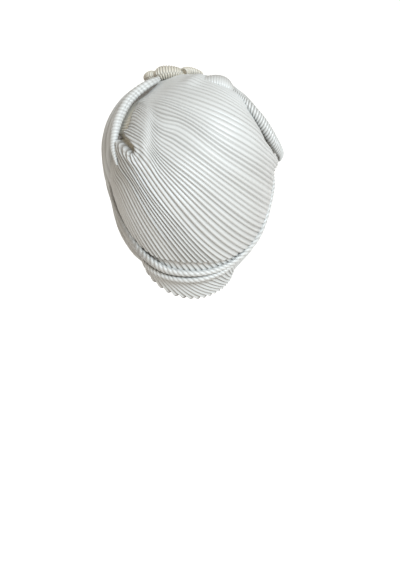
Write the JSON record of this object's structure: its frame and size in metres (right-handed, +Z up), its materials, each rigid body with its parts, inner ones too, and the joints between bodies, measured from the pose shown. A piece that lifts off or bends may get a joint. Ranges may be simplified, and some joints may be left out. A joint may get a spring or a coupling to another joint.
{
  "type": "underscarf cap",
  "caption": "Close head wrap of pleated ivory satin: a ribbed dome at the back, ribbed side layers, rolled edges and a knot on top, layered bands at the nape.",
  "frame": {"origin": "centre of the head-size ring, level with the brow, where the head sits", "axes": "+Z up, -Y towards the face, +X to the wearer's left"},
  "size_m": [0.1802, 0.2121, 0.2242],
  "materials": {
    "pleated_satin": "finely pleated ivory satin with a soft sheen"
  },
  "bodies": {
    "root": {"crown": "pleated_satin", "left_wrap": "pleated_satin", "right_wrap": "pleated_satin", "left_roll": "pleated_satin", "right_fold": "pleated_satin", "top_fold": "pleated_satin", "knot_left": "pleated_satin", "knot_right": "pleated_satin", "nape_fold": "pleated_satin", "nape_roll_upper": "pleated_satin", "nape_roll_lower": "pleated_satin", "nape_band": "pleated_satin"}
  },
  "joints": []
}
